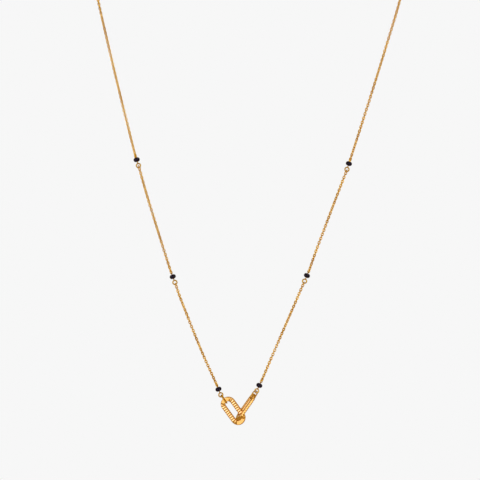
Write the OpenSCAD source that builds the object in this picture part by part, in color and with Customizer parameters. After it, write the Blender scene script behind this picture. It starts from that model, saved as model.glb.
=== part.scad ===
// Mangalsutra: a fine gold chain with small black beads and two ribbed oval links that pass through each other.
// It hangs in the plane y = front_y with its front to -Y; the origin is the middle of the neck hollow.

/* [Oval links] */
// Length of an oval link over its round ends, mm
link_length = 11.4; // [11.2:0.1:11.8]
// Width of an oval link over its two straight sides, mm
link_width = 5.5; // [5.3:0.1:5.8]
// Width of the link's strip, seen from the front, mm
strip_width = 1.65; // [1.4:0.05:1.7]
// Depth of the link's strip, front to back, mm
strip_depth = 1.1; // [1:0.05:1.2]
// Radius of the strip's long edges, mm
strip_edge = 0.25; // [0.2:0.05:0.4]
// Distance from one cross rib to the next, mm
rib_pitch = 0.83; // [0.6:0.01:1.1]
// Depth of the grooves between the ribs, mm
rib_depth = 0.16; // [0.05:0.01:0.22]

/* [Jump rings] */
// Length of an oval jump ring over its wire, mm
jump_length = 3.95; // [3.9:0.05:4.2]
// Width of an oval jump ring over its wire, mm
jump_width = 2.6; // [2.55:0.05:3]
// Thickness of the jump rings' wire, mm
jump_wire = 0.42; // [0.34:0.02:0.44]

/* [Black beads and their pins] */
// Diameter of a black bead across the chain, mm
bead_diameter = 2.3; // [2:0.05:2.5]
// Length of a black bead along the chain, mm
bead_length = 1.6; // [1.2:0.05:1.65]
// Diameter of the hole through a bead, mm
bead_hole = 0.64; // [0.62:0.02:0.74]
// Thickness of the pin that goes through a bead, mm
pin_wire = 0.4; // [0.32:0.02:0.42]
// Outer diameter of the small eye above a bead, mm
eye_diameter = 1.25; // [1.2:0.05:1.3]
// Turn of the eye from edge on towards the front, degrees
eye_turn = 45; // [0:5:90]
// Outer diameter of the ring below a bead, mm
ring_diameter = 1.95; // [1.85:0.05:2]
// Width of that ring's wire, seen from the front, mm
ring_band = 0.48; // [0.44:0.02:0.5]
// Distance from the middle of a bead up to the middle of its eye, mm
eye_offset = 1.6; // [1.55:0.05:1.8]
// Distance from the middle of a bead down to the middle of its ring, mm
ring_offset = 2.2; // [2.15:0.05:2.25]

/* [Chain] */
// Width of the cable chain over its links, mm
chain_width = 1.1; // [0.9:0.05:1.2]

/* [Clasp] */
// Length of the clasp's barrel, mm
clasp_length = 6; // [5:0.5:9]
// Diameter of the clasp's barrel, mm
clasp_diameter = 2.4; // [2:0.1:3]

/* [Hidden] */
gold = [0.87, 0.66, 0.33];
black = [0.04, 0.03, 0.05];

// The front hangs in this plane, and the nape is as far behind the origin.
front_y = -26;

// Oval links: strip centre line, and the cutter that makes the grooves between the ribs.
bend = (link_width - strip_width) / 2;
half_straight = (link_length - link_width) / 2;
cutter = 0.3;
groove_count = 11;

// Each oval link: middle, lean in the front plane, turn about its own length.
left_link = [[-5.75, front_y, -169.88], -36, 14];
right_link = [[-1.21, front_y - 0.64, -168.45], 35, -101];

// Each jump ring: middle, lean, turn about its own length.
left_jump = [[-9.05, front_y + 0.08, -165.67], -35.4, 96];
right_jump = [[1.66, front_y - 0.51, -164.25], 31.5, -42];

// Bead stations: middle of the bead, lean of the chain there, turn of the ring below.
left_high = [[-40.5, front_y, -79.5], -17, 0];
left_mid = [[-27.5, front_y, -121.6], -20.5, 0];
left_low = [[-11.05, front_y, -162.1], -22.6, 0];
right_high = [[35.9, front_y, -80.9], 18.5, 0];
right_mid = [[20.8, front_y, -121.2], 23, 0];
right_low = [[3.65, front_y - 0.5, -160.7], 25.5, -25];

// The chain stops this far from the eyes and rings that its end links pass through.
chain_gap = 0.15;

// Chain routes between the stations, from top to bottom.
left_low_route = [[-24.5, front_y, -130], [-17.3, front_y, -148]];
left_mid_route = [[-36.3, front_y, -94], [-30.7, front_y, -112]];
right_low_route = [[17, front_y, -130], [9.2, front_y - 0.2, -148]];
right_mid_route = [[31, front_y, -94], [24.2, front_y, -112]];

// Chain routes from the nape round the neck and down to the highest beads.
left_back_route = [
  [-15, 25.5, 0], [-28, 22.5, 0], [-40, 16.5, 0], [-49, 8.5, 0], [-54.5, -1, -1], [-57, -11, -3],
  [-57, -20, -7], [-56, -25, -14], [-54.2, front_y, -23], [-50.3, front_y, -40], [-46, front_y, -58]
];
right_back_route = [
  [15, 25.5, 0], [28, 22.5, 0], [40, 16.5, 0], [49, 8.5, 0], [54.5, -1, -1], [57, -11, -3],
  [57, -20, -7], [56, -25, -14], [54, front_y, -23], [48.9, front_y, -40], [43.3, front_y, -58]
];

clasp_y = 26;
clasp_reach = clasp_length / 2 + eye_diameter - 0.2 + chain_gap;

// A point on a station's own line, down from the middle of its bead.
function below(station, distance) = station[0] + distance * [-sin(station[1]), 0, -cos(station[1])];

function unit(v) = v / norm(v);

// A smooth curve through four points, between the second and the third.
function curve(a, b, c, d, t) =
  0.5 * (2 * b + (c - a) * t + (2 * a - 5 * b + 4 * c - d) * t * t + (3 * b - a - 3 * c + d) * t * t * t);

// Points along a smooth route: every route point, and steps - 1 points between each two.
function smooth(route, steps) = [
  for (i = [0 : len(route) - 2])
    for (j = [0 : steps - 1])
      curve(route[max(i - 1, 0)], route[i], route[i + 1], route[min(i + 2, len(route) - 1)], j / steps),
  route[len(route) - 1]
];

// One side of the strip's section: a square corner with its edge rounded in steps.
function corner(x, y, from) = [
  for (a = [0 : 30 : 90])
    [x + strip_edge * cos(from + a), y + strip_edge * sin(from + a)]
];

function strip_outline() =
  let (x = strip_width / 2 - strip_edge, y = strip_depth / 2 - strip_edge)
  concat(corner(x, y, 0), corner(-x, y, 90), corner(-x, -y, 180), corner(x, -y, 270));

// Puts a piece made round its own origin in its place on the necklace.
module placed(place) {
  translate(place[0])
    rotate([0, place[1], 0])
      rotate([0, 0, -place[2]])
        children();
}

// Groove between two ribs, across the strip's front and round its outer edge; the strip's middle is the origin.
module groove() {
  translate([-strip_width, rib_depth - strip_depth / 2 - cutter, 0])
    rotate([0, 90, 0])
      cylinder(r = cutter, h = 2 * strip_width, $fn = 20);
  translate([strip_width / 2 - strip_edge, strip_edge - strip_depth / 2, 0])
    rotate([0, 0, 45])
      translate([-0.5, rib_depth - strip_edge - cutter, 0])
        rotate([0, 90, 0])
          cylinder(r = cutter, h = 1, $fn = 20);
}

// The grooves of one side of the link, fanned where they run into its round ends.
module side_grooves() {
  for (i = [0 : groove_count - 1]) {
    s = (i - (groove_count - 1) / 2) * rib_pitch;
    over = max(abs(s) - half_straight, 0);
    translate([0, 0, sign(s) * min(abs(s), half_straight)])
      rotate([0, -sign(s) * over / bend * 180 / PI, 0])
        translate([bend, 0, 0])
          groove();
  }
}

// Oval link: a long round-ended ring of a soft-edged strip, ribbed across the front of its straight sides.
module oval_link() {
  color(gold)
    difference() {
      union() {
        for (end = [0, 180])
          rotate([0, end, 0])
            translate([0, 0, half_straight])
              rotate([90, 0, 0])
                rotate_extrude(angle = 180, $fn = 48)
                  translate([bend, 0])
                    polygon(strip_outline());
        for (side = [-1, 1])
          translate([side * bend, 0, -half_straight])
            linear_extrude(2 * half_straight)
              polygon(strip_outline());
      }
      for (side = [0, 1])
        mirror([side, 0, 0])
          side_grooves();
    }
}

module oval_link_left() {
  placed(left_link)
    oval_link();
}

module oval_link_right() {
  placed(right_link)
    oval_link();
}

// Oval jump ring: a round wire bent to a long ring, its length along Z and its face to -Y.
module jump_ring() {
  radius = (jump_width - jump_wire) / 2;
  half = (jump_length - jump_width) / 2;
  color(gold)
    union() {
      for (end = [0, 180])
        rotate([0, end, 0])
          translate([0, 0, half])
            rotate([90, 0, 0])
              rotate_extrude(angle = 180, $fn = 32)
                translate([radius, 0])
                  circle(d = jump_wire, $fn = 14);
      for (side = [-1, 1])
        translate([side * radius, 0, -half])
          cylinder(d = jump_wire, h = 2 * half, $fn = 14);
    }
}

module jump_ring_left() {
  placed(left_jump)
    jump_ring();
}

module jump_ring_right() {
  placed(right_jump)
    jump_ring();
}

// Black bead: a flattened round bead, drilled along the chain.
module bead(station) {
  round = bead_length / 2;
  placed([station[0], station[1], 0])
    color(black)
      rotate_extrude($fn = 32)
        intersection() {
          translate([bead_diameter / 2 - round, 0])
            circle(r = round, $fn = 32);
          translate([bead_hole / 2, -bead_length])
            square([bead_diameter, 2 * bead_length]);
        }
}

// Section of the ring's flattened wire, at this distance from the ring's middle.
module band_section(middle) {
  spread = (ring_band - pin_wire) / 2;
  for (side = [-1, 1])
    translate([middle + side * spread, 0])
      circle(d = pin_wire, $fn = 14);
  translate([middle - spread, -pin_wire / 2])
    square([2 * spread, pin_wire]);
}

// Bead pin: a wire through the bead with a small closed eye above it and a larger, flatter ring below it.
module bead_pin(station) {
  top = eye_offset - eye_diameter / 2 + pin_wire / 2;
  bottom = ring_offset - ring_diameter / 2 + ring_band / 2;
  placed([station[0], station[1], 0])
    color(gold)
      union() {
        translate([0, 0, -bottom])
          cylinder(d = pin_wire, h = top + bottom, $fn = 14);
        translate([0, 0, eye_offset])
          rotate([0, 90, eye_turn])
            rotate_extrude($fn = 24)
              translate([(eye_diameter - pin_wire) / 2, 0])
                circle(d = pin_wire, $fn = 14);
        translate([0, 0, -ring_offset])
          rotate([0, 0, station[2]])
            rotate([90, 0, 0])
              rotate_extrude($fn = 32)
                band_section((ring_diameter - ring_band) / 2);
      }
}

module bead_left_high() {
  bead(left_high);
}

module bead_left_mid() {
  bead(left_mid);
}

module bead_left_low() {
  bead(left_low);
}

module bead_right_high() {
  bead(right_high);
}

module bead_right_mid() {
  bead(right_mid);
}

module bead_right_low() {
  bead(right_low);
}

module bead_pin_left_high() {
  bead_pin(left_high);
}

module bead_pin_left_mid() {
  bead_pin(left_mid);
}

module bead_pin_left_low() {
  bead_pin(left_low);
}

module bead_pin_right_high() {
  bead_pin(right_high);
}

module bead_pin_right_mid() {
  bead_pin(right_mid);
}

module bead_pin_right_low() {
  bead_pin(right_low);
}

// A stretch of the fine cable chain as its envelope: a thin round run along its route.
module chain(points, guide) {
  n = len(points);
  rings = [
    for (i = [0 : n - 1])
      let (
        along = unit(points[min(i + 1, n - 1)] - points[max(i - 1, 0)]),
        across = unit(cross(along, guide)),
        up = cross(across, along)
      )
      for (k = [0 : 7])
        points[i] + chain_width / 2 * (cos(k * 45) * across + sin(k * 45) * up)
  ];
  walls = [
    for (i = [0 : n - 2])
      for (k = [0 : 7])
        let (a = i * 8 + k, b = i * 8 + (k + 1) % 8)
        each [[a, a + 8, b + 8], [a, b + 8, b]]
  ];
  ends = [[for (k = [0 : 7]) k], [for (k = [7 : -1 : 0]) (n - 1) * 8 + k]];
  color(gold)
    polyhedron(points = rings, faces = concat(walls, ends));
}

// The stretch from the ring of one bead station down to the eye of the next.
module chain_between(upper, route, lower, guide) {
  from = below(upper, ring_offset + ring_diameter / 2 + chain_gap);
  to = below(lower, -eye_offset - eye_diameter / 2 - chain_gap);
  chain(smooth(concat([from], route, [to]), 2), guide);
}

// The stretch from the clasp round the neck and down to the eye of the highest bead.
module chain_back(side, route, lower, guide) {
  from = [side * clasp_reach, clasp_y, 0];
  to = below(lower, -eye_offset - eye_diameter / 2 - chain_gap);
  chain(smooth(concat([from], route, [to]), 2), guide);
}

module chain_left_low() {
  chain_between(left_mid, left_low_route, left_low, [1, 1, -1]);
}

module chain_left_mid() {
  chain_between(left_high, left_mid_route, left_mid, [1, 1, -1]);
}

module chain_left_back() {
  chain_back(-1, left_back_route, left_high, [1, 1, -1]);
}

module chain_right_low() {
  chain_between(right_mid, right_low_route, right_low, [-1, 1, -1]);
}

module chain_right_mid() {
  chain_between(right_high, right_mid_route, right_mid, [-1, 1, -1]);
}

module chain_right_back() {
  chain_back(1, right_back_route, right_high, [-1, 1, -1]);
}

// Clasp: a plain round-shouldered barrel with a closed eye at each end.
module clasp() {
  radius = clasp_diameter / 2;
  half = clasp_length / 2;
  translate([0, clasp_y, 0])
    color(gold)
      union() {
        rotate([0, 90, 0])
          rotate_extrude($fn = 32)
            polygon([
              [0, -half], [radius * 0.5, -half], [radius * 0.8, -half + 0.15], [radius, -half + 0.6],
              [radius, half - 0.6], [radius * 0.8, half - 0.15], [radius * 0.5, half], [0, half]
            ]);
        for (side = [-1, 1])
          translate([side * (half + eye_diameter / 2 - 0.2), 0, 0])
            rotate([90, 0, 0])
              rotate_extrude($fn = 24)
                translate([(eye_diameter - pin_wire) / 2, 0])
                  circle(d = pin_wire, $fn = 14);
      }
}

oval_link_left();
oval_link_right();
jump_ring_left();
jump_ring_right();
bead_left_high();
bead_left_mid();
bead_left_low();
bead_right_high();
bead_right_mid();
bead_right_low();
bead_pin_left_high();
bead_pin_left_mid();
bead_pin_left_low();
bead_pin_right_high();
bead_pin_right_mid();
bead_pin_right_low();
chain_left_low();
chain_left_mid();
chain_left_back();
chain_right_low();
chain_right_mid();
chain_right_back();
clasp();
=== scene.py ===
# %% [markdown]
# # A mangalsutra with black beads and two ribbed links
#
# The piece is a fine gold cable chain that hangs in a V. Six small black beads sit in it on short gold
# pins, and at the bottom two ribbed oval links pass through each other. All the metal is yellow gold and
# the beads are black glass. The shapes are small, so the reflections do most of the work. The lesson shapes
# each kind of piece, puts it where the part's source has it, and then lights the whole necklace softly.

# %% Load the frame
import math
import random

import bmesh
import bpy
from mathutils import Matrix, Quaternion, Vector


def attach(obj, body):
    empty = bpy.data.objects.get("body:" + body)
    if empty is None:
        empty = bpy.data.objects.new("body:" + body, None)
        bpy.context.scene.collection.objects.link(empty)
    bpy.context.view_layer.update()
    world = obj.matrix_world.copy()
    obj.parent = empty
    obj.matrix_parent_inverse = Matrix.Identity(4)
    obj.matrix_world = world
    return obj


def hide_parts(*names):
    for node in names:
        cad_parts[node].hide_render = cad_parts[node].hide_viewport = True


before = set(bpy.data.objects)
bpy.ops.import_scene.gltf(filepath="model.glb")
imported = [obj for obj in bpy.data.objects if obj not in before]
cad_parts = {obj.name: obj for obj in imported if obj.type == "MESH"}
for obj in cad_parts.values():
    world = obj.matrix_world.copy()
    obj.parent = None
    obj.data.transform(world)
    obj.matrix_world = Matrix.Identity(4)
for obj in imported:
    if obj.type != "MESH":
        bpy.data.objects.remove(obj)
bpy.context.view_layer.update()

MM = 0.001
print("nodes in the frame:", len(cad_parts))

# %% [markdown]
# ## The camera
#
# The photograph looks straight at the hanging necklace from the front, level with the middle of the V. A
# long lens keeps the two sides of the V parallel to the picture, as a product photograph does. The frame is
# 172.8 mm wide in the plane that the front hangs in. All sizes in this lesson are in millimetres, apart
# from those of the lights.

# %% Camera
FRONT_Y = -26.0
FRAME_WIDTH = 172.8
CAMERA_DISTANCE = 600.0
CAMERA_X = -3.3
CAMERA_Z = -108.4
SENSOR_WIDTH = 36.0
CLIP_START = 10.0


def add_camera():
    data = bpy.data.cameras.new("camera")
    data.sensor_width = SENSOR_WIDTH
    data.lens = SENSOR_WIDTH * CAMERA_DISTANCE / FRAME_WIDTH
    data.clip_start = CLIP_START * MM
    camera = bpy.data.objects.new("camera", data)
    camera.location = Vector((CAMERA_X, FRONT_Y - CAMERA_DISTANCE, CAMERA_Z)) * MM
    camera.rotation_euler = (math.pi / 2, 0, 0)
    bpy.context.scene.collection.objects.link(camera)
    bpy.context.scene.camera = camera
    print("lens:", round(data.lens, 1), "mm")


add_camera()

# %% [markdown]
# ## Patterns for the materials
#
# No real surface is quite even in tone, gloss and height. An image could show that, but these pieces are
# tiny and need only a soft, endless change. So a noise pattern on object coordinates gives each of the
# three. A pattern is its grains to the metre and its amount of finer detail. Noise is seldom near 0 or 1,
# so only the middle of its range is used.

# %% Patterns
NOISE_LOW = 0.3
NOISE_HIGH = 0.7


def new_material(name):
    material = bpy.data.materials.new(name)
    material.use_nodes = True
    tree = material.node_tree
    shader = tree.nodes["Principled BSDF"]
    coordinates = tree.nodes.new("ShaderNodeTexCoord")
    print("material:", name)
    return material, tree, shader, coordinates


def noise(tree, coordinates, pattern):
    grains, detail = pattern
    node = tree.nodes.new("ShaderNodeTexNoise")
    node.inputs["Scale"].default_value = grains
    node.inputs["Detail"].default_value = detail
    tree.links.new(coordinates.outputs["Object"], node.inputs["Vector"])
    return node.outputs["Fac"]


def spread(tree, source, ends):
    """Turns the middle of a pattern's range into the numbers between two ends."""
    step = tree.nodes.new("ShaderNodeMapRange")
    step.inputs["From Min"].default_value = NOISE_LOW
    step.inputs["From Max"].default_value = NOISE_HIGH
    step.inputs["To Min"].default_value = ends[0]
    step.inputs["To Max"].default_value = ends[1]
    tree.links.new(source, step.inputs["Value"])
    return step.outputs["Result"]


def two_tones(tree, source, tones, most):
    """The first tone, with up to this share of the second."""
    mix = tree.nodes.new("ShaderNodeMix")
    mix.data_type = "RGBA"
    mix.inputs["A"].default_value = (*tones[0], 1.0)
    mix.inputs["B"].default_value = (*tones[1], 1.0)
    tree.links.new(spread(tree, source, (0.0, most)), mix.inputs["Factor"])
    return mix.outputs["Result"]


def unevenness(tree, source, strength, height):
    """The normal of a surface with bumps of this height."""
    bump = tree.nodes.new("ShaderNodeBump")
    bump.inputs["Strength"].default_value = strength
    bump.inputs["Distance"].default_value = height * MM
    tree.links.new(source, bump.inputs["Height"])
    return bump.outputs["Normal"]


# %% [markdown]
# ## Yellow gold
#
# Yellow gold is a metal, so its colour is the colour of what it mirrors, warmed. Buffing leaves very fine
# waves and small changes of gloss, and in places the tone is a little nearer to copper. The cast links are
# a little redder than the rest and polished bright. The drawn wire of the rings, pins and chain is duller:
# it is only a pixel or two thick in the picture, and as a bright mirror it would lose its shape there.

# %% Gold
LINK_GOLD = ((0.90, 0.56, 0.21), (0.86, 0.51, 0.17))
WIRE_GOLD = ((0.74, 0.48, 0.06), (0.68, 0.42, 0.045))
CHAIN_GOLD = ((1.00, 0.70, 0.15), (0.74, 0.40, 0.04))
LINK_GLOSS = (0.07, 0.13)
WIRE_GLOSS = (0.28, 0.32)
CHAIN_GLOSS = (0.28, 0.34)
GOLD_PATCHES = (220.0, 2.0)
GOLD_BUFFING = (900.0, 3.0)
GOLD_WAVES = (1600.0, 2.0)
MOST_COPPER = 0.6
WAVE_STRENGTH = 0.35


def gold_material(name, tones, gloss, wave):
    """Gold of two tones, a range of roughness and waves of this height."""
    material, tree, shader, coordinates = new_material(name)
    colour = two_tones(tree, noise(tree, coordinates, GOLD_PATCHES), tones, MOST_COPPER)
    roughness = spread(tree, noise(tree, coordinates, GOLD_BUFFING), gloss)
    normal = unevenness(tree, noise(tree, coordinates, GOLD_WAVES), WAVE_STRENGTH, wave)
    tree.links.new(colour, shader.inputs["Base Color"])
    tree.links.new(roughness, shader.inputs["Roughness"])
    tree.links.new(normal, shader.inputs["Normal"])
    shader.inputs["Metallic"].default_value = 1.0
    return material


link_gold = gold_material("polished_gold", LINK_GOLD, LINK_GLOSS, wave=0.004)
wire_gold = gold_material("gold_wire", WIRE_GOLD, WIRE_GLOSS, wave=0.008)
chain_gold = gold_material("gold_chain", CHAIN_GOLD, CHAIN_GLOSS, wave=0.004)

# %% [markdown]
# ## Black glass
#
# The beads are pressed glass, so dark that no light comes through, and they take their life from small soft
# reflections. The black has a slight violet in it, and the surface has faint ripples from the mould.

# %% Bead glass
GLASS_TONES = ((0.002, 0.0005, 0.005), (0.006, 0.002, 0.014))
GLASS_GLOSS = (0.06, 0.16)
GLASS_IOR = 1.52
GLASS_SHINE = 0.2
GLASS_PATCHES = (700.0, 2.0)
GLASS_FILM = (1200.0, 2.0)
GLASS_RIPPLES = (1000.0, 1.0)
RIPPLE_STRENGTH = 0.3
RIPPLE_HEIGHT = 0.015


def glass_material(name):
    material, tree, shader, coordinates = new_material(name)
    colour = two_tones(tree, noise(tree, coordinates, GLASS_PATCHES), GLASS_TONES, 1.0)
    roughness = spread(tree, noise(tree, coordinates, GLASS_FILM), GLASS_GLOSS)
    normal = unevenness(tree, noise(tree, coordinates, GLASS_RIPPLES), RIPPLE_STRENGTH, RIPPLE_HEIGHT)
    tree.links.new(colour, shader.inputs["Base Color"])
    tree.links.new(roughness, shader.inputs["Roughness"])
    tree.links.new(normal, shader.inputs["Normal"])
    shader.inputs["IOR"].default_value = GLASS_IOR
    shader.inputs["Specular IOR Level"].default_value = GLASS_SHINE
    return material


bead_glass = glass_material("black_glass")

# %% [markdown]
# ## From a bmesh to a piece
#
# Each piece is modelled round its own origin, long axis along Z and face to -Y, and is then moved to its
# place in the mesh itself. A place is the same three things as in the part's source: a middle, a lean in
# the front plane and a turn about the piece's own length. The finished piece takes the place of its node.

# %% Place and finish
SEAM = 0.0005


def placing(middle, lean, turn=0.0):
    """The matrix that takes a piece from its own origin to its place."""
    leaned = Matrix.Rotation(math.radians(lean), 4, "Y")
    turned = Matrix.Rotation(math.radians(-turn), 4, "Z")
    return Matrix.Translation(middle) @ leaned @ turned


def finish_piece(bm, name, material, node, smooth=True):
    """Closes the seams, scales to metres and hands the piece to the frame in place of its node."""
    bmesh.ops.remove_doubles(bm, verts=bm.verts, dist=SEAM)
    bmesh.ops.recalc_face_normals(bm, faces=bm.faces)
    bmesh.ops.scale(bm, vec=(MM, MM, MM), verts=bm.verts)
    for face in bm.faces:
        face.smooth = smooth
    mesh = bpy.data.meshes.new(name)
    bm.to_mesh(mesh)
    bm.free()
    mesh.materials.append(material)
    piece = bpy.data.objects.new(name, mesh)
    bpy.context.scene.collection.objects.link(piece)
    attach(piece, "root")
    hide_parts(node)
    print(name, "faces:", len(mesh.polygons))


# %% [markdown]
# ## Oval rings
#
# A jump ring, a cable link and the big ribbed link are all the same form: a section carried up one straight
# side, round an end, down the other side and round again. The spin operator does all four: with an angle it
# goes round, and with a step and no angle it goes straight. The last section lands on the first, and
# merging the doubles closes the ring.

# %% Oval ring
def carry_round(bm, section, half_straight, end_steps, side_steps):
    """Carries an open section at z = -half_straight round a whole oval."""
    geometry = section
    for side in (1, -1):
        step = Vector((0, 0, side * 2 * half_straight / side_steps))
        moved = bmesh.ops.spin(bm, geom=geometry, cent=(0, 0, 0), axis=(0, 1, 0), dvec=step,
                               angle=0.0, steps=side_steps)
        turned = bmesh.ops.spin(bm, geom=moved["geom_last"], cent=(0, 0, side * half_straight),
                                axis=(0, 1, 0), angle=-math.pi, steps=end_steps)
        geometry = turned["geom_last"]
    bmesh.ops.remove_doubles(bm, verts=bm.verts, dist=SEAM)


def wire_section(bm, radius, x, z, sides):
    """A round wire's section at x, z, flat in the XY plane; returns its vertices and edges."""
    made = bmesh.ops.create_circle(bm, cap_ends=False, segments=sides, radius=radius,
                                   matrix=Matrix.Translation((x, 0, z)))
    verts = made["verts"]
    edges = [edge for edge in bm.edges if edge.verts[0] in verts]
    return verts + edges


def oval_wire(length, width, wire, sides, end_steps):
    """An oval ring of round wire, as a new bmesh."""
    bm = bmesh.new()
    half_straight = (length - width) / 2
    section = wire_section(bm, wire / 2, (width - wire) / 2, -half_straight, sides)
    carry_round(bm, section, half_straight, end_steps, 1)
    return bm


# %% [markdown]
# ## The ribbed links
#
# The two big links are cast. Their strip is wider than it is deep, with soft edges, and the front of each
# straight side is cut across by eleven grooves, the outer ones fanned a little into the ends. Between them
# stand the ribs. The ends and the back are plain and polished. The section starts as a square that is
# stretched and has its corners bevelled, and is carried round the oval in sixteen steps to a rib.

# %% Link blank
LINK_LENGTH = 11.4
LINK_WIDTH = 5.5
STRIP_WIDTH = 1.65
STRIP_DEPTH = 1.1
STRIP_EDGE = 0.25
EDGE_STEPS = 4
RIB_PITCH = 0.83
STEPS_PER_RIB = 16
LINK_BEND = (LINK_WIDTH - STRIP_WIDTH) / 2
LINK_STRAIGHT = (LINK_LENGTH - LINK_WIDTH) / 2
LINK_STEP = RIB_PITCH / STEPS_PER_RIB
END_STEPS = round(math.pi * LINK_BEND / LINK_STEP)
SIDE_STEPS = round(2 * LINK_STRAIGHT / LINK_STEP)
print("steps round an end:", END_STEPS, "and along a side:", SIDE_STEPS)


def strip_section(bm):
    """The strip's soft-edged section, as an open loop."""
    bmesh.ops.create_circle(bm, cap_ends=True, segments=4, radius=math.sqrt(0.5),
                            matrix=Matrix.Rotation(math.radians(45), 4, "Z"))
    bmesh.ops.scale(bm, vec=(STRIP_WIDTH, STRIP_DEPTH, 1), verts=bm.verts)
    bmesh.ops.bevel(bm, geom=bm.verts[:], offset=STRIP_EDGE, offset_type="OFFSET", segments=EDGE_STEPS,
                    profile=0.5, affect="VERTICES", material=-1)
    bmesh.ops.delete(bm, geom=bm.faces[:], context="FACES_ONLY")
    bmesh.ops.translate(bm, vec=(LINK_BEND, 0, -LINK_STRAIGHT), verts=bm.verts)
    return bm.verts[:] + bm.edges[:]


def link_blank():
    """The whole link, before its ribs are pressed."""
    bm = bmesh.new()
    carry_round(bm, strip_section(bm), LINK_STRAIGHT, END_STEPS, SIDE_STEPS)
    return bm


# %% [markdown]
# The grooves are pressed into the blank: every vertex on the front and round its edges moves inwards by how
# near it is to the middle of a groove. Round the edges a groove fades out as the surface turns away from
# the front. The steps are so short that the ribs stay real shapes in the mesh, and no bump map is needed.

# %% Press the ribs
RIB_DEPTH = 0.16
GROOVES = 11
FADE_START = 0.1
FADE_LENGTH = 0.5


def along_side(point):
    """How far a point is from the middle of its side along the strip, and which way is outwards there."""
    past = max(abs(point.z) - LINK_STRAIGHT, 0.0)
    if past == 0.0:
        return abs(point.z), Vector((math.copysign(1, point.x), 0, 0))
    outwards = Vector((point.x, 0, math.copysign(past, point.z))).normalized()
    angle = math.asin(min(abs(outwards.z), 1.0))
    return LINK_STRAIGHT + LINK_BEND * angle, outwards


def groove_at(distance):
    """How deep the groove is there, from 0 on a rib's crest to 1 in the bottom."""
    nearest = min(round(distance / RIB_PITCH), (GROOVES - 1) // 2)
    off = min(abs(distance - nearest * RIB_PITCH) / (RIB_PITCH / 2), 1.0)
    return (1.0 - off) ** 2


def facing_of(point, outwards):
    """Which way the strip's surface looks at a point, or None on its flat sides and its back."""
    end = Vector((0, 0, math.copysign(min(abs(point.z), LINK_STRAIGHT), point.z)))
    across = (point - end).dot(outwards) - LINK_BEND
    edge_x = max(abs(across) - STRIP_WIDTH / 2 + STRIP_EDGE, 0.0)
    edge_y = max(abs(point.y) - STRIP_DEPTH / 2 + STRIP_EDGE, 0.0)
    facing = math.copysign(edge_x, across) * outwards + Vector((0, math.copysign(edge_y, point.y), 0))
    return facing.normalized() if facing.y < 0.0 else None


def press_ribs(bm):
    for vert in bm.verts:
        distance, outwards = along_side(vert.co)
        facing = facing_of(vert.co, outwards)
        if facing is not None:
            share = min(max((-facing.y - FADE_START) / FADE_LENGTH, 0.0), 1.0)
            vert.co -= facing * groove_at(distance) * share * RIB_DEPTH


# %% [markdown]
# Both links are the same casting. The left one shows its ribbed front, and the right one hangs through it
# almost edge on, with its ribs turned away.

# %% Two ribbed links
def ribbed_link(side, place):
    bm = link_blank()
    press_ribs(bm)
    bmesh.ops.transform(bm, matrix=place, verts=bm.verts)
    finish_piece(bm, "ribbed_link_" + side, link_gold, "oval_link_" + side)


ribbed_link("left", placing((-5.75, FRONT_Y, -169.88), -36, 14))
ribbed_link("right", placing((-1.21, FRONT_Y - 0.64, -168.45), 35, -101))

# %% [markdown]
# ## The jump rings
#
# A jump ring is a short length of wire bent to an oval and soldered shut. One hangs each ribbed link from
# the lowest ring of its chain.

# %% Jump rings
JUMP_LENGTH = 3.95
JUMP_WIDTH = 2.6
JUMP_WIRE = 0.42
JUMP_SIDES = 12
JUMP_STEPS = 20


def jump_ring(side, place):
    bm = oval_wire(JUMP_LENGTH, JUMP_WIDTH, JUMP_WIRE, JUMP_SIDES, JUMP_STEPS)
    bmesh.ops.transform(bm, matrix=place, verts=bm.verts)
    finish_piece(bm, "jump_wire_" + side, wire_gold, "jump_ring_" + side)


jump_ring("left", placing((-9.05, FRONT_Y + 0.08, -165.67), -35.4, 96))
jump_ring("right", placing((1.66, FRONT_Y - 0.51, -164.25), 31.5, -42))

# %% [markdown]
# ## The bead stations
#
# Six times the chain is broken by a bead. The bead is drilled, and a gold pin goes through it that is bent
# to a small eye above and a larger ring below. A station is the middle of its bead, the lean of the chain
# there and the turn of the ring.

# %% Station places
STATIONS = {
    "left_high": ((-40.5, FRONT_Y, -79.5), -17.0, 0.0),
    "left_mid": ((-27.5, FRONT_Y, -121.6), -20.5, 0.0),
    "left_low": ((-11.05, FRONT_Y, -162.1), -22.6, 0.0),
    "right_high": ((35.9, FRONT_Y, -80.9), 18.5, 0.0),
    "right_mid": ((20.8, FRONT_Y, -121.2), 23.0, 0.0),
    "right_low": ((3.65, FRONT_Y - 0.5, -160.7), 25.5, -25.0),
}
print("stations:", len(STATIONS))

# %% [markdown]
# ### The beads
#
# A bead is a flattened round one: a circle carried round the hole. The circle's inner side is cut away
# where the hole goes, and the two ends are joined by the wall of the hole before the whole profile is spun.

# %% Beads
BEAD_DIAMETER = 2.3
BEAD_LENGTH = 1.6
BEAD_HOLE = 0.64
BEAD_SIDES = 32
BEAD_STEPS = 40


def bead(station, place):
    bm = bmesh.new()
    radius = BEAD_LENGTH / 2
    upright = Matrix.Translation((BEAD_DIAMETER / 2 - radius, 0, 0)) @ Matrix.Rotation(math.pi / 2, 4, "X")
    bmesh.ops.create_circle(bm, cap_ends=False, segments=BEAD_SIDES, radius=radius, matrix=upright)
    bmesh.ops.bisect_plane(bm, geom=bm.verts[:] + bm.edges[:], plane_co=(BEAD_HOLE / 2, 0, 0),
                           plane_no=(1, 0, 0), clear_inner=True)
    rims = [vert for vert in bm.verts if len(vert.link_edges) == 1]
    bmesh.ops.contextual_create(bm, geom=rims)
    bmesh.ops.spin(bm, geom=bm.verts[:] + bm.edges[:], cent=(0, 0, 0), axis=(0, 0, 1),
                   angle=2 * math.pi, steps=BEAD_STEPS, use_merge=True)
    bmesh.ops.transform(bm, matrix=place, verts=bm.verts)
    finish_piece(bm, "black_bead_" + station, bead_glass, "bead_" + station)


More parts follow.
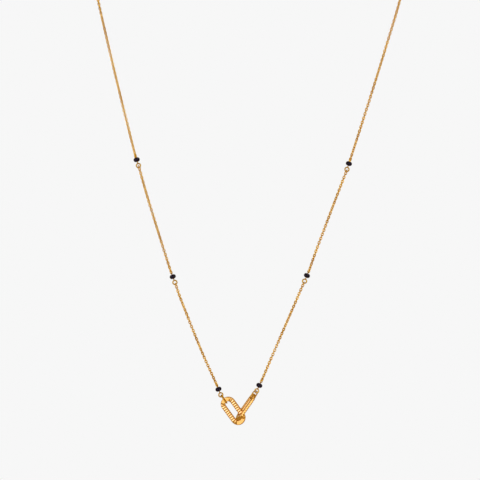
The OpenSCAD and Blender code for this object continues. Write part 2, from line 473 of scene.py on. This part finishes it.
for station, (middle, lean, _) in STATIONS.items():
    bead(station, placing(middle, lean))

# %% [markdown]
# ### The pins
#
# The pin is a straight wire with a round loop at each end. The eye above stands halfway between edge on and
# facing the front. The ring below is larger, its wire is flattened to a band, and it faces the front, but
# for the lowest on the right, which is turned a little with its link.

# %% Bead pins
PIN_WIRE = 0.4
PIN_SIDES = 14
EYE_DIAMETER = 1.25
EYE_TURN = 45.0
EYE_STEPS = 24
RING_DIAMETER = 1.95
RING_BAND = 0.48
RING_STEPS = 32
EYE_OFFSET = 1.6
RING_OFFSET = 2.2


def round_loop(bm, diameter, band, place, steps):
    """A closed loop of the pin's wire, flattened to a band; its face is to -Y before it is placed."""
    radius = (diameter - band) / 2
    section = wire_section(bm, PIN_WIRE / 2, radius, 0, PIN_SIDES)
    made = [item for item in section if isinstance(item, bmesh.types.BMVert)]
    before = set(bm.verts) - set(made)
    flatten = Matrix.Translation((radius, 0, 0)) @ Matrix.Diagonal((band / PIN_WIRE, 1, 1, 1))
    bmesh.ops.transform(bm, matrix=flatten @ Matrix.Translation((-radius, 0, 0)), verts=made)
    bmesh.ops.spin(bm, geom=section, cent=(0, 0, 0), axis=(0, 1, 0), angle=2 * math.pi, steps=steps,
                   use_merge=True)
    bmesh.ops.transform(bm, matrix=place, verts=[vert for vert in bm.verts if vert not in before])


def bead_pin(station, place, turn):
    bm = bmesh.new()
    top = EYE_OFFSET - EYE_DIAMETER / 2 + PIN_WIRE / 2
    bottom = RING_OFFSET - RING_DIAMETER / 2 + RING_BAND / 2
    bmesh.ops.create_cone(bm, cap_ends=True, segments=PIN_SIDES, radius1=PIN_WIRE / 2, radius2=PIN_WIRE / 2,
                          depth=top + bottom, matrix=Matrix.Translation((0, 0, (top - bottom) / 2)))
    turned = Matrix.Translation((0, 0, EYE_OFFSET)) @ Matrix.Rotation(math.radians(90 + EYE_TURN), 4, "Z")
    round_loop(bm, EYE_DIAMETER, PIN_WIRE, turned, EYE_STEPS)
    facing = Matrix.Translation((0, 0, -RING_OFFSET)) @ Matrix.Rotation(math.radians(turn), 4, "Z")
    round_loop(bm, RING_DIAMETER, RING_BAND, facing, RING_STEPS)
    bmesh.ops.transform(bm, matrix=place, verts=bm.verts)
    finish_piece(bm, "bead_wire_" + station, wire_gold, "bead_pin_" + station)


for station, (middle, lean, turn) in STATIONS.items():
    bead_pin(station, placing(middle, lean), turn)

# %% [markdown]
# ## The clasp
#
# The photograph doesn't show the clasp, so it is a plain barrel with a closed eye at each end, at the nape.
# The barrel is a cylinder with its two rims bevelled round.

# %% Clasp
CLASP_Y = 26.0
CLASP_LENGTH = 6.0
CLASP_DIAMETER = 2.4
CLASP_SIDES = 40
SHOULDER = 0.55
SHOULDER_STEPS = 6
EYE_SUNK = 0.2
CLASP_EYE = CLASP_LENGTH / 2 + EYE_DIAMETER / 2 - EYE_SUNK


def clasp():
    bm = bmesh.new()
    bmesh.ops.create_cone(bm, cap_ends=True, segments=CLASP_SIDES, radius1=CLASP_DIAMETER / 2,
                          radius2=CLASP_DIAMETER / 2, depth=CLASP_LENGTH,
                          matrix=Matrix.Rotation(math.pi / 2, 4, "Y"))
    rims = [edge for edge in bm.edges if abs(edge.verts[0].co.x - edge.verts[1].co.x) < SEAM]
    bmesh.ops.bevel(bm, geom=rims, offset=SHOULDER, offset_type="OFFSET", segments=SHOULDER_STEPS,
                    profile=0.5, affect="EDGES", material=-1)
    for side in (-1, 1):
        round_loop(bm, EYE_DIAMETER, PIN_WIRE, Matrix.Translation((side * CLASP_EYE, 0, 0)), EYE_STEPS)
    bmesh.ops.translate(bm, vec=(0, CLASP_Y, 0), verts=bm.verts)
    finish_piece(bm, "barrel_clasp", wire_gold, "clasp")


clasp()

# %% [markdown]
# ## The chain's way
#
# The chain goes the same way as in the part's source: through a few listed points, joined by a
# smooth curve. Each stretch starts in the ring or eye that it hangs from and ends in the eye of the next
# bead, because the end links pass through them.
#
# The curve has a fault at its ends, which the source doesn't have. The two points there are about 1 mm
# apart and the next one is many millimetres away, so the curve swings past the middle of an eye, by up to
# 1.1 mm, and comes back. It would be cured by making the smooth curve without the outermost point at each
# end and then adding those two with straight lines.

# %% Routes
ROUTES = {
    "left_low": [(-24.5, FRONT_Y, -130), (-17.3, FRONT_Y, -148)],
    "left_mid": [(-36.3, FRONT_Y, -94), (-30.7, FRONT_Y, -112)],
    "right_low": [(17, FRONT_Y, -130), (9.2, FRONT_Y - 0.2, -148)],
    "right_mid": [(31, FRONT_Y, -94), (24.2, FRONT_Y, -112)],
    "left_back": [(-15, 25.5, 0), (-28, 22.5, 0), (-40, 16.5, 0), (-49, 8.5, 0), (-54.5, -1, -1),
                  (-57, -11, -3), (-57, -20, -7), (-56, -25, -14), (-54.2, FRONT_Y, -23),
                  (-50.3, FRONT_Y, -40), (-46, FRONT_Y, -58)],
    "right_back": [(15, 25.5, 0), (28, 22.5, 0), (40, 16.5, 0), (49, 8.5, 0), (54.5, -1, -1),
                   (57, -11, -3), (57, -20, -7), (56, -25, -14), (54, FRONT_Y, -23),
                   (48.9, FRONT_Y, -40), (43.3, FRONT_Y, -58)],
}
CURVE_STEPS = 40
print("points chosen by hand:", sum(len(points) for points in ROUTES.values()))


def below(station, distance):
    """A point on a station's own line, down from the middle of its bead."""
    middle, lean, _ = STATIONS[station]
    angle = math.radians(lean)
    return Vector(middle) + distance * Vector((-math.sin(angle), 0, -math.cos(angle)))


def curve_point(a, b, c, d, t):
    """A point of the smooth curve between b and c."""
    return 0.5 * (2 * b + (c - a) * t + (2 * a - 5 * b + 4 * c - d) * t ** 2
                  + (3 * b - a - 3 * c + d) * t ** 3)


def smooth_way(points):
    points = [Vector(point) for point in points]
    last = len(points) - 1
    way = []
    for i in range(last):
        around = (points[max(i - 1, 0)], points[i], points[i + 1], points[min(i + 2, last)])
        way += [curve_point(*around, j / CURVE_STEPS) for j in range(CURVE_STEPS)]
    return way + [points[last]]


# %% [markdown]
# ## The cable chain
#
# Every link of the chain is a small oval of wire, and each hangs in the one before it at a right angle. One
# link is modelled once and copied along the way. Its wire has six flat sides that are left flat, so the
# links glitter like those of a chain that was cut with a diamond, and 588 of them stay light.

# %% Cable link
CHAIN_WIRE = 0.34
CHAIN_LINK = 1.5
CHAIN_WIDTH = 1.1
CHAIN_SIDES = 6
CHAIN_STEPS = 6
CHAIN_PITCH = CHAIN_LINK - 2 * CHAIN_WIRE


def cable_link():
    bm = oval_wire(CHAIN_LINK, CHAIN_WIDTH, CHAIN_WIRE, CHAIN_SIDES, CHAIN_STEPS)
    bmesh.ops.recalc_face_normals(bm, faces=bm.faces)
    mesh = bpy.data.meshes.new("cable_link")
    bm.to_mesh(mesh)
    bm.free()
    print("faces of a cable link:", len(mesh.polygons))
    return mesh


LINK_SHAPE = cable_link()

# %% [markdown]
# The way is measured along its length, and the links are spread evenly from the first eye to the last. Each
# is set on the chord between the two places where it meets its neighbours, so that the wires stay close to
# each other in a bend as well.

# %% Links along a way
def lengths(way):
    total = [0.0]
    for a, b in zip(way, way[1:]):
        total.append(total[-1] + (b - a).length)
    return total


def point_at(way, measured, distance):
    """The point so far along the way, found by halving."""
    distance = min(max(distance, 0.0), measured[-1])
    low, high = 0, len(measured) - 1
    while high - low > 1:
        middle = (low + high) // 2
        if measured[middle] <= distance:
            low = middle
        else:
            high = middle
    return way[low].lerp(way[high], (distance - measured[low]) / (measured[high] - measured[low]))


def link_places(way, reaches):
    """The middle and direction of each link between the two reaches, with the way's length."""
    measured = lengths(way)
    start = reaches[0]
    stop = measured[-1] - reaches[1]
    count = math.ceil((stop - start) / CHAIN_PITCH) + 1
    pitch = (stop - start) / (count - 1)
    places = []
    for k in range(count):
        middle = start + k * pitch
        a = point_at(way, measured, middle - pitch / 2)
        b = point_at(way, measured, middle + pitch / 2)
        places.append(((a + b) / 2, (b - a).normalized()))
    print("links:", count, "length:", round(measured[-1], 1), "pitch:", round(pitch, 3))
    return places, measured[-1]


# %% [markdown]
# A chain is seldom quite straight in itself: it lies with a slow twist. So each link is turned 90 degrees
# from the last one and a little more. Where the links stand square to the view they show as holes and bars,
# and where they stand askew the chain looks closed and darker. The twist is near a number of half turns
# from end to end and is made to fit, so that the first and last links are turned to pass through their
# eyes. The others are shaken a little, because no chain hangs quite evenly.

# %% Twist
QUARTER = math.pi / 2
LINK_SHAKE = 4.0


def side_frame(along, guide):
    """Two directions square to the chain, which turn slowly with it."""
    across = along.cross(guide).normalized()
    return across, across.cross(along)


def turn_through(along, guide, opening):
    """The turn of a link that passes through an eye which is open in this direction."""
    across, up = side_frame(along, guide)
    face = along.cross(opening).normalized()
    return math.atan2(face.dot(up), face.dot(across))


def link_turns(name, places, guide, openings, half_turns):
    first = turn_through(places[0][1], guide, openings[0])
    last = turn_through(places[-1][1], guide, openings[1])
    steps = len(places) - 1
    left_over = (last - first - QUARTER * steps + QUARTER) % math.pi - QUARTER
    twist = left_over + math.pi * half_turns
    shake = random.Random(name)
    turns = [first + QUARTER * k + twist * (k / steps) for k in range(steps + 1)]
    for k in range(1, steps):
        turns[k] += math.radians(shake.uniform(-LINK_SHAKE, LINK_SHAKE))
    print("twist:", round(math.degrees(twist)), "degrees")
    return turns


def link_matrix(middle, along, guide, turn):
    across, up = side_frame(along, guide)
    face = math.cos(turn) * across + math.sin(turn) * up
    axes = Matrix((along.cross(face), -face, along)).transposed().to_4x4()
    return Matrix.Translation(middle) @ axes


# %% [markdown]
# The first link of a stretch is meant to hook over the bottom wire of the ring above, and the last one
# under the top wire of the eye below, with a hair of clearance. The reaches that set them are measured along
# the way. Where the curve swings past an eye, the end links sit too deep and crowd, and they cut up to
# 0.2 mm into the eye, the clasp or the highest beads. That hardly shows in the picture, but on the real
# chain nothing cuts in. The stretches between two beads have one half turn of twist and the long ones round
# the neck have three, opposite on the two sides.

# %% Six stretches
HAIR = 0.02
RING_REACH = RING_DIAMETER / 2 - RING_BAND - CHAIN_WIRE - HAIR + CHAIN_LINK / 2
EYE_REACH = EYE_DIAMETER / 2 - PIN_WIRE - CHAIN_WIRE - HAIR + CHAIN_LINK / 2
LINE_GAP = 0.15
EYE_STOP = EYE_OFFSET + EYE_DIAMETER / 2 + LINE_GAP
RING_STOP = RING_OFFSET + RING_DIAMETER / 2 + LINE_GAP
TO_FRONT = Vector((0, -1, 0))
TWIST_BETWEEN = 1
TWIST_BACK = 3


def eye_axis(station):
    """The direction that a station's upper eye is open in."""
    turn = math.radians(EYE_TURN)
    leaned = Matrix.Rotation(math.radians(STATIONS[station][1]), 3, "Y")
    return leaned @ Vector((math.cos(turn), math.sin(turn), 0))


def chain_stretch(stretch, start, lower, first_reach, out, half_turns):
    """Links from the eye or ring at the start of the way down to the eye of the lower station."""
    name = "cable_" + stretch
    way = smooth_way(start + ROUTES[stretch] + [below(lower, -EYE_STOP), below(lower, -EYE_OFFSET)])
    # The guide is a direction that this side of the chain never runs along.
    guide = Vector((-out, 1, -1))
    places, length = link_places(way, (first_reach, EYE_REACH))
    turns = link_turns(name, places, guide, (TO_FRONT, eye_axis(lower)), -out * half_turns)
    bm = bmesh.new()
    done = 0
    for (middle, along), turn in zip(places, turns):
        bm.from_mesh(LINK_SHAPE)
        bm.verts.ensure_lookup_table()
        bmesh.ops.transform(bm, matrix=link_matrix(middle, along, guide, turn), verts=bm.verts[done:])
        done = len(bm.verts)
    finish_piece(bm, name, chain_gold, "chain_" + stretch, smooth=False)
    return length


def stretch_between(side, out, upper, lower):
    upper = side + upper
    start = [below(upper, RING_OFFSET), below(upper, RING_STOP)]
    return chain_stretch(side + lower, start, side + lower, RING_REACH, out, TWIST_BETWEEN)


def stretch_back(side, out, lower):
    eye = Vector((out * CLASP_EYE, CLASP_Y, 0))
    clear = eye + Vector((out * (EYE_DIAMETER / 2 + LINE_GAP), 0, 0))
    return chain_stretch(side + "_back", [eye, clear], side + lower, EYE_REACH, out, TWIST_BACK)


chain_length = 0.0
for side, out in (("left", -1), ("right", 1)):
    chain_length += stretch_between(side, out, "_mid", "_low")
    chain_length += stretch_between(side, out, "_high", "_mid")
    chain_length += stretch_back(side, out, "_high")
print("chain:", round(chain_length), "mm")

# %% [markdown]
# ## The floor
#
# The ground in the photograph is plain and almost white. A flat, pale, matt floor stands for it, well below
# the necklace. The camera doesn't see it, so the front view has the white tent alone behind it, and the
# gold doesn't mirror it.

# %% Floor
FLOOR_Y = -60.0
FLOOR_Z = -260.0
FLOOR_HALF = 400.0
FLOOR_CELLS = 8
FLOOR_PAPER = (0.86, 0.86, 0.86, 1.0)
FLOOR_GRAIN = (400.0, 3.0)
FLOOR_MATT = (0.85, 0.95)


def add_floor():
    bm = bmesh.new()
    bmesh.ops.create_grid(bm, x_segments=FLOOR_CELLS, y_segments=FLOOR_CELLS, size=FLOOR_HALF)
    bmesh.ops.translate(bm, vec=(0, FLOOR_Y, FLOOR_Z), verts=bm.verts)
    bmesh.ops.scale(bm, vec=(MM, MM, MM), verts=bm.verts)
    mesh = bpy.data.meshes.new("floor")
    bm.to_mesh(mesh)
    bm.free()
    floor = bpy.data.objects.new("floor", mesh)
    bpy.context.scene.collection.objects.link(floor)
    material, tree, shader, coordinates = new_material("floor_paper")
    roughness = spread(tree, noise(tree, coordinates, FLOOR_GRAIN), FLOOR_MATT)
    tree.links.new(roughness, shader.inputs["Roughness"])
    shader.inputs["Base Color"].default_value = FLOOR_PAPER
    mesh.materials.append(material)
    floor.visible_glossy = False
    print("floor at z =", FLOOR_Z, "mm")


add_floor()

# %% [markdown]
# ## The light tent
#
# Polished gold shows whatever is round it, and in a white tent alone it would look flat. So the tent is
# white for the camera and for diffuse light, while reflections see a dim, warm studio that is white only
# straight behind the necklace.

# %% Light tent
TENT_WHITE = (0.93, 0.93, 0.93, 1.0)
STUDIO_DARK = (0.42, 0.29, 0.075, 1.0)
BACKDROP_EDGE = 0.90
BACKDROP_SOFTNESS = 0.06


def add_tent():
    world = bpy.data.worlds.new("light_tent")
    world.use_nodes = True
    tree = world.node_tree
    coordinates = tree.nodes.new("ShaderNodeTexCoord")
    parts = tree.nodes.new("ShaderNodeSeparateXYZ")
    tree.links.new(coordinates.outputs["Generated"], parts.inputs["Vector"])
    backdrop = tree.nodes.new("ShaderNodeMapRange")
    backdrop.inputs["From Min"].default_value = BACKDROP_EDGE
    backdrop.inputs["From Max"].default_value = BACKDROP_EDGE + BACKDROP_SOFTNESS
    tree.links.new(parts.outputs["Y"], backdrop.inputs["Value"])
    studio = tree.nodes.new("ShaderNodeMix")
    studio.data_type = "RGBA"
    studio.inputs["A"].default_value = STUDIO_DARK
    studio.inputs["B"].default_value = TENT_WHITE
    tree.links.new(backdrop.outputs["Result"], studio.inputs["Factor"])
    rays = tree.nodes.new("ShaderNodeLightPath")
    seen = tree.nodes.new("ShaderNodeMix")
    seen.data_type = "RGBA"
    seen.inputs["A"].default_value = TENT_WHITE
    tree.links.new(rays.outputs["Is Glossy Ray"], seen.inputs["Factor"])
    tree.links.new(studio.outputs["Result"], seen.inputs["B"])
    tree.links.new(seen.outputs["Result"], tree.nodes["Background"].inputs["Color"])
    bpy.context.scene.world = world
    print("world:", world.name)


add_tent()

# %% [markdown]
# ## The soft boxes
#
# Soft boxes stand in the studio where the polished faces look. The left one lights the flat ends of the
# left link and the key its ribs. The right one lights the long wall of the right link, and the top one that
# link's round end. The key has a little daylight blue in it, which keeps the highlights pale. A box has its
# place and size in metres and its power in watts, and most are rolled to lie along the link that they
# light.

# %% Soft boxes
LIGHT_AIM = Vector((0, FRONT_Y * MM, -0.12))
LINK_ROLL = 39.0
PLAIN_WHITE = (1.0, 1.0, 1.0)
DAYLIGHT = (0.90, 0.98, 1.50)


def add_softbox(name, place, size, power, roll=0.0, colour=PLAIN_WHITE):
    data = bpy.data.lights.new(name, "AREA")
    data.shape = "RECTANGLE"
    data.size = size[0]
    data.size_y = size[1]
    data.energy = power
    data.color = colour
    light = bpy.data.objects.new(name, data)
    light.location = place
    towards = (LIGHT_AIM - Vector(place)).to_track_quat("-Z", "Y")
    light.rotation_euler = (towards @ Quaternion((0, 0, 1), math.radians(roll))).to_euler()
    light.visible_camera = False
    bpy.context.scene.collection.objects.link(light)
    print(name, power, "W")


add_softbox("softbox_left", (-0.38, -0.91, -0.45), (0.50, 0.50), 0.70, LINK_ROLL)
add_softbox("softbox_right", (0.46, -0.86, -0.24), (0.42, 0.88), 1.5, -LINK_ROLL)
add_softbox("softbox_top", (0.44, -0.45, 0.62), (0.34, 0.95), 1.2)
add_softbox("softbox_key", (-0.69, -0.72, 0.00), (0.42, 0.66), 1.7, LINK_ROLL, DAYLIGHT)
bpy.context.scene.view_settings.view_transform = "Standard"
